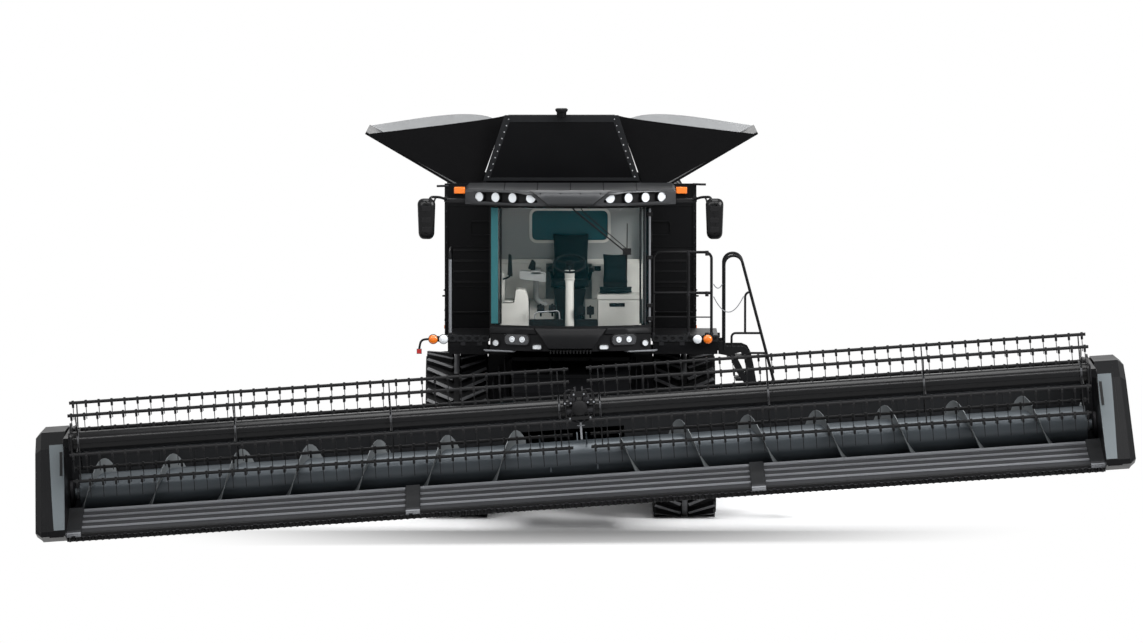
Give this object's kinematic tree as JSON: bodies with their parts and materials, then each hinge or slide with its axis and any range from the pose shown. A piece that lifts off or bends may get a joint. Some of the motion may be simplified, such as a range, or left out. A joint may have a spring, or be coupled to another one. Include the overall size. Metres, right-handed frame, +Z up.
{
  "type": "combine harvester",
  "caption": "Combine harvester on front track units and steered rear wheels, with a wide auger header, reel, cab, open grain tank covers and folded unloading auger.",
  "frame": {"origin": "centre of the bounding box at ground level", "axes": "+Z up, +X across the machine to the operator's left, the machine faces -Y"},
  "size_m": [12.944, 12.812, 4.9226],
  "materials": {
    "amber_plastic": "gloss",
    "beige_plastic": "matt",
    "black_paint": "gloss",
    "black_plastic": "matt",
    "blue_grey_paint": "satin",
    "cast": "matt",
    "cover_fabric": "woven",
    "dark_grey_paint": "satin",
    "glass": "clear",
    "lamp_lens": "gloss",
    "satin_black": "satin",
    "seat_fabric": "woven",
    "steel": "brushed",
    "track_rubber": "matt",
    "tyre": "matt"
  },
  "bodies": {
    "machine": {"track_belt_left": "track_rubber", "track_belt_right": "track_rubber", "track_unit_left": "cast", "track_unit_right": "cast", "axles": "cast", "grain_tank": "black_paint", "tank_augers": "steel", "side_panels": "black_paint", "rear_hood": "black_paint", "cooling_screen": "black_plastic", "engine_block": "cast", "straw_chopper": "satin_black", "corner_sheets": "cover_fabric", "cab_base": "satin_black", "windshield": "glass", "cab_glass": "glass", "cab_frame": "satin_black", "cab_roof": "dark_grey_paint", "chassis_rails": "satin_black", "cab_seats": "seat_fabric", "cab_controls": "beige_plastic", "platforms": "satin_black", "guard_rails": "satin_black", "mirrors": "black_plastic", "signal_lamps": "amber_plastic", "work_lamps": "lamp_lens", "threshing_hull": "satin_black"},
    "feeder": {"feeder_house": "black_paint", "tilt_frame": "satin_black"},
    "feeder_drum": {"feeder_drum": "satin_black"},
    "header": {"header_frame": "dark_grey_paint", "header_deck": "dark_grey_paint", "cutterbar": "steel", "end_panels": "blue_grey_paint", "end_covers": "black_plastic"},
    "auger": {"header_auger": "blue_grey_paint", "auger_flights": "blue_grey_paint"},
    "reel_arms": {"reel_arms": "black_paint"},
    "reel": {"reel_tube": "black_paint", "reel_bats": "black_paint"},
    "cover_front": {"cover_front": "black_paint"},
    "cover_rear": {"cover_rear": "black_paint"},
    "cover_left": {"cover_left": "black_paint"},
    "cover_right": {"cover_right": "black_paint"},
    "unloading_auger": {"unloading_auger": "black_paint"},
    "cab_door": {"cab_door": "satin_black", "cab_door_glass": "glass"},
    "ladder": {"ladder": "satin_black"},
    "knuckle_left": {"knuckle_left": "cast"},
    "knuckle_right": {"knuckle_right": "cast"},
    "rear_wheel_left": {"rear_rim_left": "dark_grey_paint", "rear_tyre_left": "tyre"},
    "rear_wheel_right": {"rear_rim_right": "dark_grey_paint", "rear_tyre_right": "tyre"},
    "spreader_left": {"spreader_disc_left": "steel"},
    "spreader_right": {"spreader_disc_right": "steel"},
    "lift_barrel_left": {"lift_cylinder_left": "satin_black"},
    "lift_barrel_right": {"lift_cylinder_right": "satin_black"},
    "lift_rod_left": {"lift_rod_left": "steel"},
    "lift_rod_right": {"lift_rod_right": "steel"}
  },
  "joints": [
    {"name": "feeder_lift", "type": "hinge", "parent": "machine", "child": "feeder", "pos_m": [-0.14405, -2.02603, 1.8], "axis": [-1, 0, 0], "range_deg": [-3, 16]},
    {"name": "feeder_drum_spin", "type": "hinge", "parent": "feeder", "child": "feeder_drum", "pos_m": [-0.14405, -3.75603, 1], "axis": [1, 0, 0], "continuous": true},
    {"name": "header_roll", "type": "hinge", "parent": "feeder", "child": "header", "pos_m": [-0.14405, -4.14603, 1.5], "axis": [0, 1, 0], "range_deg": [0, 8]},
    {"name": "header_auger_spin", "type": "hinge", "parent": "header", "child": "auger", "pos_m": [0.0115, -4.80603, 0.90921], "axis": [0.9977, 0, 0.068], "continuous": true},
    {"name": "reel_lift", "type": "hinge", "parent": "header", "child": "reel_arms", "pos_m": [-0.03748, -4.35603, 1.62754], "axis": [-0.9977, 0, -0.068], "range_deg": [-4, 24]},
    {"name": "reel_spin", "type": "hinge", "parent": "reel_arms", "child": "reel", "pos_m": [-0.03571, -5.80603, 1.6016], "axis": [0.9977, 0, 0.068], "continuous": true},
    {"name": "cover_front_fold", "type": "hinge", "parent": "machine", "child": "cover_front", "pos_m": [-0.25405, -1.05603, 4.027], "axis": [-1, 0, 0], "range_deg": [0, 98]},
    {"name": "cover_rear_fold", "type": "hinge", "parent": "machine", "child": "cover_rear", "pos_m": [-0.25405, 1.29397, 4.027], "axis": [1, 0, 0], "range_deg": [0, 98]},
    {"name": "cover_left_fold", "type": "hinge", "parent": "machine", "child": "cover_left", "pos_m": [1.05595, 0.11897, 3.985], "axis": [0, -1, 0], "range_deg": [0, 150]},
    {"name": "cover_right_fold", "type": "hinge", "parent": "machine", "child": "cover_right", "pos_m": [-1.56405, 0.11897, 3.985], "axis": [0, 1, 0], "range_deg": [0, 150]},
    {"name": "unloading_swing", "type": "hinge", "parent": "machine", "child": "unloading_auger", "pos_m": [1.14795, -0.92603, 3.548], "axis": [0, 0, -1], "range_deg": [0, 98]},
    {"name": "cab_door_swing", "type": "hinge", "parent": "machine", "child": "cab_door", "pos_m": [0.83995, -1.70003, 3], "axis": [0, 0, 1], "range_deg": [0, 55]},
    {"name": "ladder_swing", "type": "hinge", "parent": "machine", "child": "ladder", "pos_m": [1.65595, -2.11603, 2.2], "axis": [0, 0, 1], "range_deg": [0, 90]},
    {"name": "steer_left", "type": "hinge", "parent": "machine", "child": "knuckle_left", "pos_m": [0.86595, 2.42397, 0.765], "axis": [0, 0, 1], "range_deg": [-26, 26]},
    {"name": "steer_right", "type": "hinge", "parent": "machine", "child": "knuckle_right", "pos_m": [-1.15405, 2.42397, 0.765], "axis": [0, 0, 1], "range_deg": [-26, 26]},
    {"name": "rear_wheel_left_spin", "type": "hinge", "parent": "knuckle_left", "child": "rear_wheel_left", "pos_m": [1.27595, 2.42397, 0.765], "axis": [1, 0, 0], "continuous": true},
    {"name": "rear_wheel_right_spin", "type": "hinge", "parent": "knuckle_right", "child": "rear_wheel_right", "pos_m": [-1.56405, 2.42397, 0.765], "axis": [1, 0, 0], "continuous": true},
    {"name": "spreader_left_spin", "type": "hinge", "parent": "machine", "child": "spreader_left", "pos_m": [0.18595, 3.86397, 0.93], "axis": [0, 0, 1], "continuous": true},
    {"name": "spreader_right_spin", "type": "hinge", "parent": "machine", "child": "spreader_right", "pos_m": [-0.47405, 3.86397, 0.93], "axis": [0, 0, -1], "continuous": true},
    {"name": "lift_barrel_left_turn", "type": "hinge", "parent": "machine", "child": "lift_barrel_left", "pos_m": [0.25595, -1.92603, 1], "axis": [-1, 0, 0], "range_deg": [-4, 17]},
    {"name": "lift_rod_left_slide", "type": "slide", "parent": "lift_barrel_left", "child": "lift_rod_left", "axis": [0, -0.9839, -0.1789], "range_m": [-0.06, 0.26]},
    {"name": "lift_barrel_right_turn", "type": "hinge", "parent": "machine", "child": "lift_barrel_right", "pos_m": [-0.54405, -1.92603, 1], "axis": [-1, 0, 0], "range_deg": [-4, 17]},
    {"name": "lift_rod_right_slide", "type": "slide", "parent": "lift_barrel_right", "child": "lift_rod_right", "axis": [0, -0.9839, -0.1789], "range_m": [-0.06, 0.26]}
  ],
  "couplings": [
    {"joint": "steer_right", "follows": "steer_left", "ratio": 1},
    {"joint": "lift_barrel_left_turn", "follows": "feeder_lift", "ratio": 0.975},
    {"joint": "lift_rod_left_slide", "follows": "feeder_lift", "m_per_rad": 0.8},
    {"joint": "lift_barrel_right_turn", "follows": "feeder_lift", "ratio": 0.975},
    {"joint": "lift_rod_right_slide", "follows": "feeder_lift", "m_per_rad": 0.8}
  ]
}
